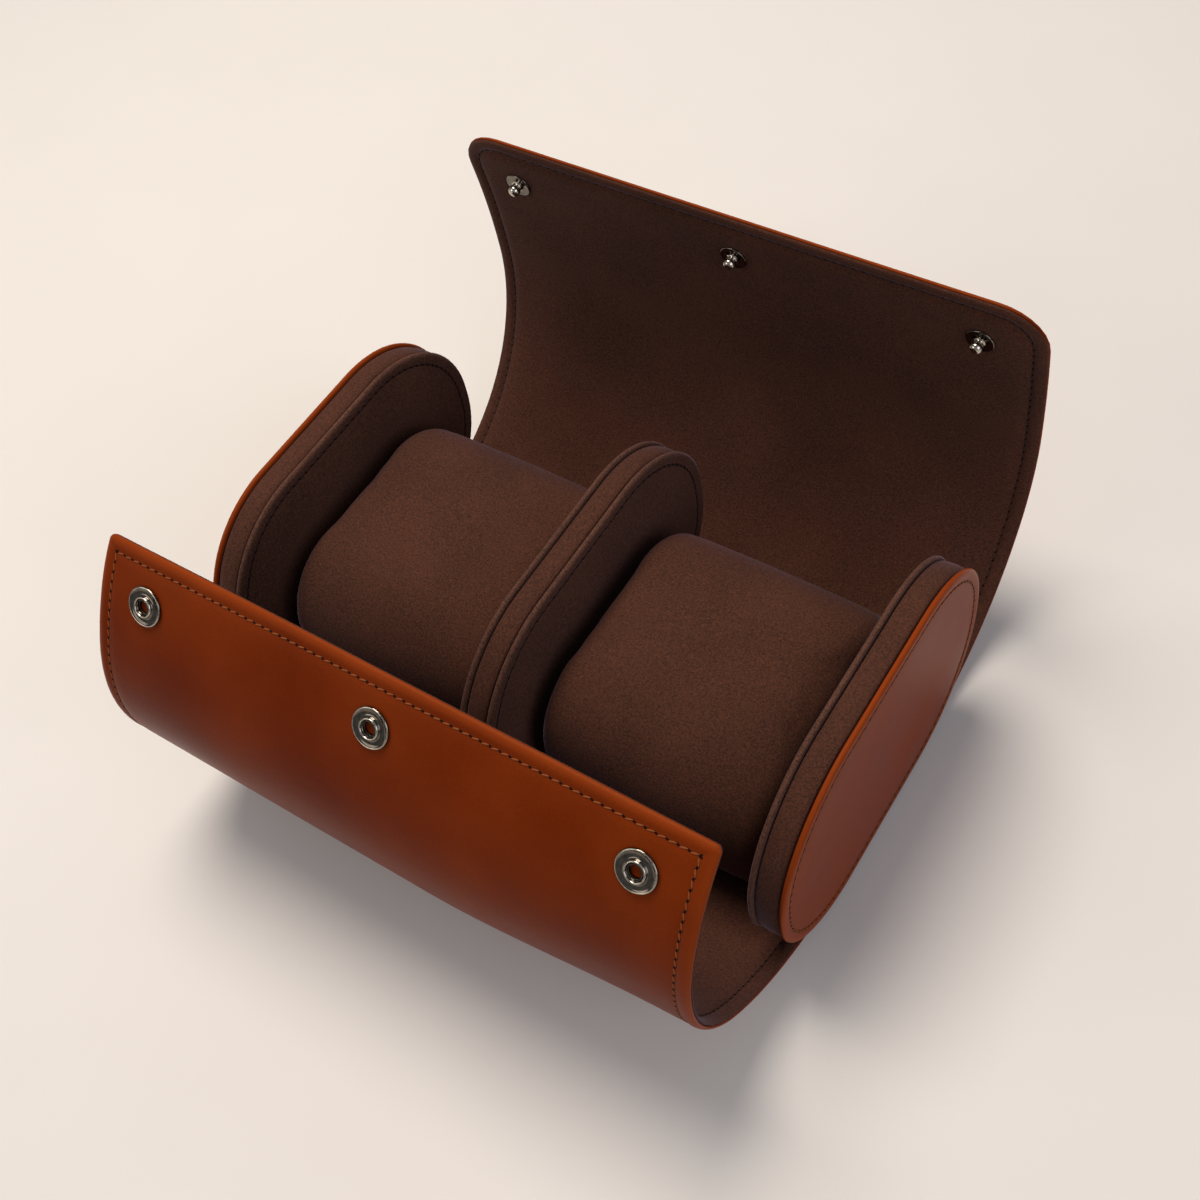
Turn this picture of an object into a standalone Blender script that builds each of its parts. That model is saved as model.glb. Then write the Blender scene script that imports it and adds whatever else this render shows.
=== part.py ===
# Watch travel case for two watches: a leather wrap lined with microsuede, bent round two end caps and
# a divider, with two cushions, three snap sockets on the front flap and three snap studs inside the lid.
# The case stands open on its flat base. X runs along the case, -Y is the front, +Z is up, units are metres.
# The origin is on the underside of the wrap, in the middle of the case.
import bmesh
import bpy
from math import cos, pi, radians, sin
from mathutils import Matrix, Vector

MM = 0.001

# Clearances
GAP = 0.3 * MM  # between pieces that touch
SEAT_GAP = 0.4 * MM  # under the end caps, the divider and the cushions
HINGE_GAP = 0.8 * MM  # between the wrap's sections at a bend
STUD_GAP = 0.3 * MM  # round a post in its hole

# Wrap: layers, from the outside in
WRAP_WIDTH = 197.0 * MM
LEATHER_THICKNESS = 1.2 * MM
BOARD_THICKNESS = 0.7 * MM
LINING_THICKNESS = 0.8 * MM
LINING_INSET = 0.6 * MM
BOARD_INSET = 6.0 * MM
FLAP_CORNER_RADIUS = 2.0 * MM
FLAP_TAPER = 2.0 * MM  # how much narrower the front flap's end is on each side
FLAP_TAPER_START = 95.0 * MM  # along the wrap, from the middle of the base
LID_CORNER_RADIUS = 15.0 * MM

# Wrap: its bent shape, from the middle of the base towards the front and towards the back
FRONT_FLAT_SHORT = 6.5 * MM  # the base starts to rise this far inside the end caps' straight edge
REAR_FLAT_EXTRA = 12.5 * MM  # and this far outside it at the back
FRONT_SPREAD = 51.0 * MM  # how much wider than the end caps' corners the front sweep is
REAR_SPREAD = 28.0 * MM
FRONT_SWEEP_TURN = 50.0
FRONT_BEND_RADIUS = 55.0 * MM
FRONT_BEND_TURN = 62.0
FRONT_LIP_RADIUS = 78.0 * MM
FRONT_LIP_TURN = 25.9
REAR_SWEEP_TURN = 90.0
LID_RADIUS = 250.0 * MM
LID_TURN = 13.0
LOWER_BEND_PLACE = 50.0 * MM  # along the wrap, from the middle of the base
UPPER_BEND_PLACE = 140.0 * MM
BEND_STEP = 4.0 * MM

# End caps and divider
CAP_OVERHANG = 2.0 * MM  # how far the end caps' outer faces stand past the wrap's sides
CAP_WIDTH = 119.0 * MM
CAP_HEIGHT = 80.0 * MM
CAP_END_FLAT = 2.0 * MM  # half of the straight stretch at each end of an end cap's outline
CAP_LEATHER_THICKNESS = 1.6 * MM
CAP_GUSSET_WIDTH = 7.2 * MM
CAP_PANEL_THICKNESS = 1.8 * MM
GUSSET_THICKNESS = 1.0 * MM
GUSSET_INSET = 0.7 * MM  # the gusset lies this far inside the panels' edge
DIVIDER_GUSSET_WIDTH = 6.8 * MM
PANEL_EDGE_BEVEL = 0.7 * MM

# Cushions
CUSHION_GAP = 3.0 * MM  # from each end of a cushion to the wall beside it
CUSHION_WIDTH = 87.0 * MM
CUSHION_HEIGHT = 61.0 * MM
CUSHION_END_FLAT = 5.0 * MM  # half of the straight stretch at the front and the back of a cushion
CUSHION_SHIFT = -3.0 * MM  # towards the front
CUSHION_COVER_THICKNESS = 1.5 * MM
CUSHION_END_THICKNESS = 2.5 * MM

# Snap fasteners
SNAP_SIDE_DISTANCE = 19.5 * MM  # from the wrap's side to the outer snaps
SOCKET_EDGE_DISTANCE = 15.0 * MM
STUD_EDGE_DISTANCE = 17.0 * MM
SOCKET_RADIUS = 5.4 * MM
SOCKET_FLANGE_THICKNESS = 0.8 * MM
SOCKET_HEIGHT = 1.9 * MM
SOCKET_MOUTH_RADIUS = 2.6 * MM
SOCKET_WALL = 0.8 * MM
SOCKET_FLOOR = 0.6 * MM
SPRING_WIRE_RADIUS = 0.2 * MM
EYELET_FLANGE_RADIUS = 4.6 * MM
EYELET_FLANGE_THICKNESS = 0.5 * MM
EYELET_BARREL_RADIUS = 1.7 * MM
EYELET_BORE_RADIUS = 1.2 * MM
STUD_FLANGE_RADIUS = 4.4 * MM
STUD_FLANGE_THICKNESS = 0.7 * MM
STUD_NECK_RADIUS = 1.45 * MM
STUD_HEAD_RADIUS = 1.95 * MM
STUD_HEIGHT = 4.4 * MM
STUD_WALL = 0.4 * MM
SNAP_CAP_RADIUS = 5.5 * MM
SNAP_CAP_HEIGHT = 1.3 * MM

ARC_STEPS = 8  # per quarter turn of a panel's outline
CORNER_STEPS = 5  # round a corner of the wrap
SNAP_STEPS = 18  # round a snap fastener

# Sizes that follow from the ones above
WRAP_THICKNESS = LEATHER_THICKNESS + GAP + BOARD_THICKNESS + GAP + LINING_THICKNESS
BOARD_START = LEATHER_THICKNESS + GAP
LINING_START = BOARD_START + BOARD_THICKNESS + GAP
CAPS_SPAN = WRAP_WIDTH + 2 * CAP_OVERHANG  # over the outer faces of the two end caps
SNAP_SPACING = WRAP_WIDTH / 2 - SNAP_SIDE_DISTANCE
CAP_CORNER_RADIUS = CAP_HEIGHT / 2 - CAP_END_FLAT
CUSHION_CORNER_RADIUS = CUSHION_HEIGHT / 2 - CUSHION_END_FLAT
CAP_STRAIGHT = CAP_WIDTH / 2 - CAP_CORNER_RADIUS
CAP_BOTTOM = WRAP_THICKNESS + SEAT_GAP
CAP_CENTRE_Z = CAP_BOTTOM + CAP_HEIGHT / 2
CUSHION_CENTRE_Z = CAP_BOTTOM + CUSHION_HEIGHT / 2
SNAP_HOLE_RADIUS = EYELET_BARREL_RADIUS + STUD_GAP
STUD_POST_RADIUS = STUD_NECK_RADIUS - STUD_WALL - STUD_GAP

FRONT_RUN = [
    (None, CAP_STRAIGHT - FRONT_FLAT_SHORT),
    (CAP_CORNER_RADIUS + WRAP_THICKNESS + FRONT_SPREAD, radians(FRONT_SWEEP_TURN)),
    (FRONT_BEND_RADIUS, radians(FRONT_BEND_TURN)),
    (FRONT_LIP_RADIUS, radians(FRONT_LIP_TURN)),
]
REAR_RUN = [
    (None, CAP_STRAIGHT + REAR_FLAT_EXTRA),
    (CAP_CORNER_RADIUS + WRAP_THICKNESS + REAR_SPREAD, radians(REAR_SWEEP_TURN)),
    (LID_RADIUS, radians(LID_TURN)),
]


def run_length(run):
    return sum(amount if radius is None else radius * amount for radius, amount in run)


FRONT_LENGTH = run_length(FRONT_RUN)
REAR_LENGTH = run_length(REAR_RUN)


def wrap_frame(distance):
    """A point on the wrap's outer face, at a distance from the base's middle, and its inward normal."""
    side = 1 if distance >= 0 else -1
    left = abs(distance)
    y = z = heading = 0.0
    for radius, amount in REAR_RUN if side > 0 else FRONT_RUN:
        if radius is None:
            step = min(left, amount)
            y += step
            left -= step
        else:
            turn = min(left / radius, amount)
            y += radius * (sin(heading + turn) - sin(heading))
            z += radius * (cos(heading) - cos(heading + turn))
            heading += turn
            left -= turn * radius
    point = Vector((0, side * (y + left * cos(heading)), z + left * sin(heading)))
    return point, Vector((0, -side * sin(heading), cos(heading)))


def taper(distance):
    """The share of its width that the wrap keeps at a distance along it. The front flap narrows to its end."""
    share = (-distance - FLAP_TAPER_START) / (FRONT_LENGTH - FLAP_TAPER_START)
    return 1 - max(share, 0) * FLAP_TAPER / (WRAP_WIDTH / 2)


def material(name, colour, roughness, metallic=0.0):
    made = bpy.data.materials.new(name)
    made.use_nodes = True
    shader = made.node_tree.nodes["Principled BSDF"]
    shader.inputs["Base Color"].default_value = (*colour, 1)
    shader.inputs["Roughness"].default_value = roughness
    shader.inputs["Metallic"].default_value = metallic
    return made


LEATHER = material("cognac_leather", (0.30, 0.085, 0.025), 0.45)
SUEDE = material("brown_microsuede", (0.075, 0.032, 0.022), 0.9)
BOARD = material("grey_board", (0.25, 0.22, 0.18), 0.9)
FOAM = material("cream_foam", (0.7, 0.62, 0.45), 0.95)
NICKEL = material("polished_nickel", (0.5, 0.48, 0.45), 0.2, 1.0)


def finish(name, bm, surface):
    """Makes an object of a bmesh, with its faces outward and its curved faces smooth."""
    bmesh.ops.remove_doubles(bm, verts=bm.verts, dist=0.00001)
    bmesh.ops.recalc_face_normals(bm, faces=bm.faces)
    mesh = bpy.data.meshes.new(name)
    bm.to_mesh(mesh)
    bm.free()
    mesh.materials.append(surface)
    mesh.shade_smooth()
    mesh.set_sharp_from_angle(angle=radians(30))
    obj = bpy.data.objects.new(name, mesh)
    bpy.context.collection.objects.link(obj)
    return obj


def rounded_outline(half_width, half_height, radius, steps):
    """Points of a rounded rectangle about the origin, anticlockwise."""
    points = []
    for quarter, (sx, sy) in enumerate(((1, 1), (-1, 1), (-1, -1), (1, -1))):
        for step in range(steps + 1):
            turn = (quarter + step / steps) * pi / 2
            across = sx * (half_width - radius) + radius * cos(turn)
            points.append((across, sy * (half_height - radius) + radius * sin(turn)))
    return points


def flat_sheet(points, thickness):
    """A flat sheet with its outline in X and Y, from Z 0 up to its thickness."""
    bm = bmesh.new()
    face = bm.faces.new([bm.verts.new((x, y, 0)) for x, y in points])
    raised = bmesh.ops.extrude_face_region(bm, geom=[face])
    verts = [item for item in raised["geom"] if isinstance(item, bmesh.types.BMVert)]
    bmesh.ops.translate(bm, verts=verts, vec=(0, 0, thickness))
    bmesh.ops.remove_doubles(bm, verts=bm.verts, dist=0.00001)
    bmesh.ops.recalc_face_normals(bm, faces=bm.faces)
    return bm


def end_corner(side, half_width, end, radius):
    """Points round one end of a wrap section: from its -X side for side 1, from its +X side for side -1."""
    points = []
    for quarter, corner in enumerate((-1, 1)):
        for step in range(CORNER_STEPS + 1):
            turn = (quarter + step / CORNER_STEPS) * pi / 2
            x = corner * (half_width - radius) - radius * cos(turn)
            points.append((x, end + side * (radius * sin(turn) - radius)))
    return points if side > 0 else points[::-1]


def wrap_section(name, start, end, inner, thickness, inset, corners, surface):
    """One layer of the wrap between two places along it, cut flat and then bent to the wrap's shape."""
    half = WRAP_WIDTH / 2 - inset
    low, high = start, end
    points = []
    if corners[0]:
        low += inset
        points += end_corner(-1, half, low, corners[0])
    else:
        points += [(half, low), (-half, low)]
    if corners[1]:
        high -= inset
        points += end_corner(1, half, high, corners[1])
    else:
        points += [(-half, high), (half, high)]
    bm = flat_sheet(points, thickness)
    cuts = max(2, round((high - low) / BEND_STEP))
    for cut in range(1, cuts):
        place = low + (high - low) * cut / cuts
        geom = bm.verts[:] + bm.edges[:] + bm.faces[:]
        bmesh.ops.bisect_plane(bm, geom=geom, plane_co=(0, place, 0), plane_no=(0, 1, 0), dist=0.000001)
    bmesh.ops.triangulate(bm, faces=bm.faces)
    for vert in bm.verts:
        point, normal = wrap_frame(vert.co.y)
        across = vert.co.x * taper(vert.co.y)
        vert.co = Vector((across, 0, 0)) + point + normal * (inner + vert.co.z)
    return finish(name, bm, surface)


def turned(name, profile, surface, spot):
    """A round piece turned from radius and height pairs about its own Z axis and set at a spot."""
    bm = bmesh.new()
    verts = [bm.verts.new((radius, 0, height)) for radius, height in profile]
    edges = [bm.edges.new(pair) for pair in zip(verts, verts[1:])]
    if profile[0][0] > 0:
        edges.append(bm.edges.new((verts[-1], verts[0])))
    bmesh.ops.spin(
        bm, geom=verts + edges, cent=(0, 0, 0), axis=(0, 0, 1), angle=2 * pi, steps=SNAP_STEPS, use_merge=True
    )
    bm.transform(spot)
    return finish(name, bm, surface)


def wrap_spot(x, distance, depth, outward):
    """A frame on the wrap with its Z axis along the surface normal, at a depth below the outer surface."""
    point, normal = wrap_frame(distance)
    up = -normal if outward else normal
    along = Vector((1, 0, 0))
    turn = Matrix((along, up.cross(along), up)).transposed().to_4x4()
    return Matrix.Translation(point + normal * depth + Vector((x, 0, 0))) @ turn


def panel(name, low_x, high_x, outline, centre, edge_bevel, surface):
    """A flat panel standing across the case between two X values, its edges bevelled."""
    thickness = high_x - low_x
    bm = flat_sheet(outline, thickness)
    if edge_bevel:
        rim = [edge for edge in bm.edges if abs(edge.verts[0].co.z - edge.verts[1].co.z) < thickness / 2]
        bmesh.ops.bevel(bm, geom=rim, offset=edge_bevel, segments=1, profile=0.5, affect="EDGES", material=-1)
    turn = Matrix(((0, 0, 1), (1, 0, 0), (0, 1, 0))).to_4x4()
    bm.transform(Matrix.Translation((low_x, *centre)) @ turn)
    return finish(name, bm, surface)


def ring(name, low_x, high_x, outer, inner, centre, surface):
    """A band round an outline, with the inner outline left open."""
    bm = bmesh.new()
    loops = []
    for points in (outer, inner):
        verts = [bm.verts.new((low_x, centre[0] + y, centre[1] + z)) for y, z in points]
        loops += [bm.edges.new(pair) for pair in zip(verts, verts[1:] + verts[:1])]
    faces = bmesh.ops.bridge_loops(bm, edges=loops)["faces"]
    raised = bmesh.ops.extrude_face_region(bm, geom=faces)
    verts = [item for item in raised["geom"] if isinstance(item, bmesh.types.BMVert)]
    bmesh.ops.translate(bm, verts=verts, vec=(high_x - low_x, 0, 0))
    return finish(name, bm, surface)


def cap_outline(inset):
    half_width = CAP_WIDTH / 2 - inset
    return rounded_outline(half_width, CAP_HEIGHT / 2 - inset, CAP_CORNER_RADIUS - inset, ARC_STEPS)


def cushion_outline(inset):
    half_width = CUSHION_WIDTH / 2 - inset
    return rounded_outline(half_width, CUSHION_HEIGHT / 2 - inset, CUSHION_CORNER_RADIUS - inset, ARC_STEPS)


def gusset_and_core(name, low_x, high_x):
    """The band round the rim of an end cap or the divider, and the board that it is wrapped round."""
    centre = (0, CAP_CENTRE_Z)
    inner = GUSSET_INSET + GUSSET_THICKNESS
    ring(name + "_gusset", low_x, high_x, cap_outline(GUSSET_INSET), cap_outline(inner), centre, SUEDE)
    panel(name + "_core", low_x, high_x, cap_outline(inner + GAP), centre, 0, BOARD)


def end_cap(name, side):
    """A leather panel outside, a gusset round a board, and a microsuede panel inside."""
    centre = (0, CAP_CENTRE_Z)
    faces = [CAPS_SPAN / 2]
    for thickness in (CAP_LEATHER_THICKNESS, GAP, CAP_GUSSET_WIDTH, GAP, CAP_PANEL_THICKNESS):
        faces.append(faces[-1] - thickness)
    outer, leather, gusset_out, gusset_in, panel_out, panel_in = (side * x for x in faces)
    rim = cap_outline(0)
    panel(name + "_leather_panel", *sorted((outer, leather)), rim, centre, PANEL_EDGE_BEVEL, LEATHER)
    gusset_and_core(name, *sorted((gusset_out, gusset_in)))
    panel(name + "_inner_panel", *sorted((panel_out, panel_in)), rim, centre, PANEL_EDGE_BEVEL, SUEDE)
    return faces[-1]


def divider():
    centre = (0, CAP_CENTRE_Z)
    half = DIVIDER_GUSSET_WIDTH / 2
    gusset_and_core("divider", -half, half)
    near, far = half + GAP, half + GAP + CAP_PANEL_THICKNESS
    panel("divider_left_panel", -far, -near, cap_outline(0), centre, PANEL_EDGE_BEVEL, SUEDE)
    panel("divider_right_panel", near, far, cap_outline(0), centre, PANEL_EDGE_BEVEL, SUEDE)
    return far


def cushion(name, low_x, high_x):
    """A foam block in a sleeve of microsuede, closed by a panel at each end."""
    centre = (CUSHION_SHIFT, CUSHION_CENTRE_Z)
    sleeve_low, sleeve_high = low_x + CUSHION_END_THICKNESS + GAP, high_x - CUSHION_END_THICKNESS - GAP
    sleeve = cushion_outline(0), cushion_outline(CUSHION_COVER_THICKNESS)
    ring(name + "_sleeve", sleeve_low, sleeve_high, *sleeve, centre, SUEDE)
    block = cushion_outline(CUSHION_COVER_THICKNESS + GAP)
    panel(name + "_foam", sleeve_low, sleeve_high, block, centre, 0, FOAM)
    for end, low in (("left", low_x), ("right", high_x - CUSHION_END_THICKNESS)):
        face = cushion_outline(CUSHION_COVER_THICKNESS)
        panel(f"{name}_{end}_end", low, low + CUSHION_END_THICKNESS, face, centre, PANEL_EDGE_BEVEL, SUEDE)


def dish_depth(radius, bend):
    """How far a flat disc of this radius stands off a surface of this bend radius at its rim or middle."""
    return radius * radius / (2 * bend)


def snap_socket(name, x):
    """A socket on the front flap's leather, its spring ring, and the eyelet that holds it from inside."""
    place = -FRONT_LENGTH + SOCKET_EDGE_DISTANCE
    crown = SOCKET_HEIGHT
    mouth = SOCKET_MOUTH_RADIUS
    wall = mouth + SOCKET_WALL
    flange = SOCKET_FLANGE_THICKNESS
    profile = [
        (SNAP_HOLE_RADIUS, 0),
        (SOCKET_RADIUS, 0),
        (SOCKET_RADIUS, flange * 0.6),
        (SOCKET_RADIUS - flange * 0.5, flange),
        (wall + flange * 0.4, flange),
        (wall, crown - flange * 0.3),
        (mouth + SOCKET_WALL / 2, crown),
        (mouth, crown - flange * 0.3),
        (mouth, SOCKET_FLOOR),
        (SNAP_HOLE_RADIUS, SOCKET_FLOOR),
    ]
    turned("snap_socket_" + name, profile, NICKEL, wrap_spot(x, place, -GAP, True))
    wire = SPRING_WIRE_RADIUS
    coil = mouth - STUD_GAP - wire
    middle = SOCKET_FLOOR + STUD_GAP + wire
    sides = 6
    turns = [2 * pi * side / sides for side in range(sides)]
    profile = [(coil + wire * cos(turn), middle + wire * sin(turn)) for turn in turns]
    turned("socket_spring_" + name, profile, NICKEL, wrap_spot(x, place, -GAP, True))
    stand_off = GAP + dish_depth(EYELET_FLANGE_RADIUS, FRONT_LIP_RADIUS - WRAP_THICKNESS)
    barrel = stand_off + WRAP_THICKNESS + GAP + SOCKET_FLOOR / 2
    profile = [
        (EYELET_BORE_RADIUS, -barrel),
        (EYELET_BARREL_RADIUS, -barrel),
        (EYELET_BARREL_RADIUS, 0),
        (EYELET_FLANGE_RADIUS, 0),
        (EYELET_FLANGE_RADIUS, EYELET_FLANGE_THICKNESS * 0.6),
        (EYELET_FLANGE_RADIUS - EYELET_FLANGE_THICKNESS * 0.5, EYELET_FLANGE_THICKNESS),
        (EYELET_BORE_RADIUS, EYELET_FLANGE_THICKNESS),
    ]
    turned("socket_eyelet_" + name, profile, NICKEL, wrap_spot(x, place, WRAP_THICKNESS + stand_off, False))


def snap_stud(name, x):
    """A stud on the lid's lining, and the domed cap whose post holds it from outside."""
    place = REAR_LENGTH - STUD_EDGE_DISTANCE
    stand_off = GAP + dish_depth(STUD_FLANGE_RADIUS, LID_RADIUS - WRAP_THICKNESS)
    head = STUD_HEAD_RADIUS
    neck = STUD_NECK_RADIUS
    flange = STUD_FLANGE_THICKNESS
    centre = STUD_HEIGHT - head
    bore = neck - STUD_WALL
    bore_depth = STUD_HEIGHT - STUD_WALL * 3
    turns = [radians(angle) for angle in (-35, -5, 25, 55)]
    ball = [(head * cos(turn), centre + head * sin(turn)) for turn in turns]
    profile = [
        (0, bore_depth),
        (bore, bore_depth),
        (bore, 0),
        (STUD_FLANGE_RADIUS, 0),
        (STUD_FLANGE_RADIUS, flange * 0.5),
        (STUD_FLANGE_RADIUS - flange * 0.5, flange),
        (neck, flange),
        *ball,
        (0, STUD_HEIGHT),
    ]
    spot = wrap_spot(x, place, WRAP_THICKNESS + stand_off, False)
    stud = turned("snap_stud_" + name, profile, NICKEL, spot)
    post = WRAP_THICKNESS + stand_off + bore_depth - STUD_GAP + GAP
    profile = [
        (0, -post),
        (STUD_POST_RADIUS, -post),
        (STUD_POST_RADIUS, 0),
        (SNAP_CAP_RADIUS, 0),
        (SNAP_CAP_RADIUS, SNAP_CAP_HEIGHT * 0.4),
        (SNAP_CAP_RADIUS * 0.85, SNAP_CAP_HEIGHT * 0.8),
        (SNAP_CAP_RADIUS * 0.5, SNAP_CAP_HEIGHT),
        (0, SNAP_CAP_HEIGHT),
    ]
    return stud, turned("snap_cap_" + name, profile, NICKEL, wrap_spot(x, place, -GAP, True))


def punch(objects, places, distance):
    """Cuts round holes through the wrap's layers where the snap fasteners pass."""
    bm = bmesh.new()
    for x in places:
        spot = wrap_spot(x, distance, WRAP_THICKNESS / 2, False)
        bmesh.ops.create_cone(
            bm, cap_ends=True, segments=SNAP_STEPS, radius1=SNAP_HOLE_RADIUS, radius2=SNAP_HOLE_RADIUS,
            depth=WRAP_THICKNESS * 2, matrix=spot
        )
    cutter = finish("snap_hole_cutter", bm, NICKEL)
    cutter.hide_render = True
    cutter.display_type = "WIRE"
    for obj in objects:
        cut = obj.modifiers.new("snap_holes", "BOOLEAN")
        cut.operation = "DIFFERENCE"
        cut.object = cutter


def wrap():
    """The leather, the board and the lining, each in three sections that meet at the lid's two bends."""
    half_gap = HINGE_GAP / 2
    lower, upper = LOWER_BEND_PLACE, UPPER_BEND_PLACE
    sections = [
        ("base", -FRONT_LENGTH, lower - half_gap, (FLAP_CORNER_RADIUS, 0)),
        ("lid_lower", lower + half_gap, upper - half_gap, (0, 0)),
        ("lid_upper", upper + half_gap, REAR_LENGTH, (0, LID_CORNER_RADIUS)),
    ]
    layers = [
        ("wrap_leather", 0, LEATHER_THICKNESS, 0, LEATHER),
        ("wrap_board", BOARD_START, BOARD_THICKNESS, BOARD_INSET, BOARD),
        ("wrap_lining", LINING_START, LINING_THICKNESS, LINING_INSET, SUEDE),
    ]
    made = {}
    for section, start, end, corners in sections:
        made[section] = []
        for layer, depth, thickness, inset, surface in layers:
            rounds = tuple(max(corner - inset, GAP) if corner else 0 for corner in corners)
            name = f"{layer}_{section}"
            made[section].append(wrap_section(name, start, end, depth, thickness, inset, rounds, surface))
    return made


def bend_axis(name, distance, parent, objects):
    """An empty on the axis of one of the lid's bends, at the lining. It carries what turns there."""
    point, normal = wrap_frame(distance)
    axis = bpy.data.objects.new(name, None)
    bpy.context.collection.objects.link(axis)
    place = point + normal * WRAP_THICKNESS
    axis.parent = parent
    axis.location = place - parent.location if parent else place
    for obj in objects:
        obj.parent = axis
        obj.location = -place
    return axis


def build():
    for obj in list(bpy.data.objects):
        bpy.data.objects.remove(obj)
    sections = wrap()
    wall = end_cap("end_cap_left", -1)
    end_cap("end_cap_right", 1)
    middle = divider()
    cushion("cushion_left", -wall + CUSHION_GAP, -middle - CUSHION_GAP)
    cushion("cushion_right", middle + CUSHION_GAP, wall - CUSHION_GAP)
    places = (-SNAP_SPACING, 0, SNAP_SPACING)
    fittings = []
    for name, x in zip(("left", "centre", "right"), places):
        snap_socket(name, x)
        fittings += snap_stud(name, x)
    punch(sections["base"], places, -FRONT_LENGTH + SOCKET_EDGE_DISTANCE)
    punch(sections["lid_upper"], places, REAR_LENGTH - STUD_EDGE_DISTANCE)
    lower = bend_axis("lower_bend", LOWER_BEND_PLACE, None, sections["lid_lower"])
    bend_axis("upper_bend", UPPER_BEND_PLACE, lower, sections["lid_upper"] + fittings)


build()
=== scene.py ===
from math import cos, exp, hypot, pi, radians, sin

import bmesh
import bpy
from mathutils import Matrix, Vector, noise


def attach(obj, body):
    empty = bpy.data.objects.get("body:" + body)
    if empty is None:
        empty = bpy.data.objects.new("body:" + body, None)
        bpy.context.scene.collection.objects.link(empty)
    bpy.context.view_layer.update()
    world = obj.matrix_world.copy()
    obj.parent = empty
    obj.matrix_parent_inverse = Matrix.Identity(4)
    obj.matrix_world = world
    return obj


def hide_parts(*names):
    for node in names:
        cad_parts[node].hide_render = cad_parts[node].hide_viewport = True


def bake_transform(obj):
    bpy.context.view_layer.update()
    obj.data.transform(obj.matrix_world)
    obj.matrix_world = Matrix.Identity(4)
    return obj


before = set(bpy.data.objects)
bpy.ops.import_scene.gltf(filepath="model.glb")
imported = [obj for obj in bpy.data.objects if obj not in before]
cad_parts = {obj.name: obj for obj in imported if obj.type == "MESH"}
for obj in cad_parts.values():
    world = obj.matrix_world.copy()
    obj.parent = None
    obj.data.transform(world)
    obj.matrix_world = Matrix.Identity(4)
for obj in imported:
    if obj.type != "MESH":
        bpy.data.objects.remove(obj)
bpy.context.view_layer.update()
mm = 0.001
print("frame loaded,", len(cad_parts), "CAD nodes")

# The camera, fitted to the photograph, for a square frame of 1200 x 1200
camera = {
    "focalLength": 46.13,  # on a 36 mm sensor
    "azimuth": 43.89,  # degrees from straight ahead, towards the right
    "elevation": 54.77,
    "roll": -13.52,
    "distance": 460.3 * mm,
    "target": Vector((5.36, 0.69, 55.25)) * mm,
}


def placeCamera(settings):
    az, el, roll = (radians(settings[k]) for k in ("azimuth", "elevation", "roll"))
    back = Vector((sin(az) * cos(el), -cos(az) * cos(el), sin(el)))
    right = Vector((cos(az), sin(az), 0))
    up = back.cross(right)
    rolledRight = right * cos(roll) + up * sin(roll)
    rolledUp = up * cos(roll) - right * sin(roll)
    data = bpy.data.cameras.new("camera")
    data.sensor_width = 36
    data.lens = settings["focalLength"]
    data.clip_start, data.clip_end = 0.01, 20
    obj = bpy.data.objects.new("camera", data)
    turn = Matrix((rolledRight, rolledUp, back)).transposed().to_4x4()
    obj.matrix_world = Matrix.Translation(settings["target"] + back * settings["distance"]) @ turn
    bpy.context.collection.objects.link(obj)
    bpy.context.scene.camera = obj


placeCamera(camera)
print("camera placed")


def linearColour(code):
    parts = [int(code[i : i + 2], 16) / 255 for i in (0, 2, 4)]
    return (*(c / 12.92 if c <= 0.04045 else ((c + 0.055) / 1.055) ** 2.4 for c in parts), 1)


def addNode(tree, kind, settings=None, links=None):
    # settings and links name a socket, a socket's number or a property of the node
    node = tree.nodes.new("ShaderNode" + kind)
    for name, value in (settings or {}).items():
        if isinstance(name, int) or name in node.inputs:
            node.inputs[name].default_value = value
        else:
            setattr(node, name, value)
    for name, socket in (links or {}).items():
        tree.links.new(socket, node.inputs[name])
    return node


def addNoise(tree, where, size, detail=2.0):
    # a level from 0 to 1 that changes over about this distance
    return addNode(tree, "TexNoise", {"Scale": 1 / size, "Detail": detail}, {"Vector": where}).outputs["Fac"]


def addRamp(tree, level, stops):
    # a colour for each level
    node = addNode(tree, "ValToRGB", links={0: level})
    for element, (place, colour) in zip(node.color_ramp.elements, stops):
        element.position, element.color = place, linearColour(colour)
    return node.outputs["Color"]


def addShare(tree, level, share, base):
    # the base level plus a share of another
    return addNode(tree, "Math", {"operation": "MULTIPLY_ADD", 1: share}, {0: level, 2: base}).outputs[0]


def addBump(tree, shader, height, strength, distance):
    bump = addNode(tree, "Bump", {"Strength": strength, "Distance": distance}, {"Height": height})
    tree.links.new(bump.outputs["Normal"], shader.inputs["Normal"])


def addGloss(tree, shader, level, settings):
    gloss = addNode(tree, "MapRange", settings, {"Value": level})
    tree.links.new(gloss.outputs["Result"], shader.inputs["Roughness"])


def newMaterial(name, settings):
    # a material with only its shader: settings are the shader's own sockets
    material = bpy.data.materials.new(name)
    material.use_nodes = True
    tree = material.node_tree
    shader = tree.nodes["Principled BSDF"]
    for socket, value in settings.items():
        shader.inputs[socket].default_value = value
    where = addNode(tree, "TexCoord").outputs["Object"]
    return material, tree, shader, where


# Cognac leather: smooth full-grain hide, dyed through, with a satin finish. The eye sees a warm orange-brown,
# darker in broad clouds, a fine pebble with pores, and edges that rubbing has made lighter.
leatherFinish = {
    "cloudSize": 38 * mm,
    "pebbleSize": 1.1 * mm,
    "poreSize": 0.45 * mm,
    "poreShare": 0.35,
    "cloudColours": [(0.3, "5E1F05"), (0.72, "732C0A")],
    "poreColours": [(0.35, "D0C8C4"), (0.6, "FFFFFF")],
    "edgeColour": "8C3D16",
}


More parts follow.
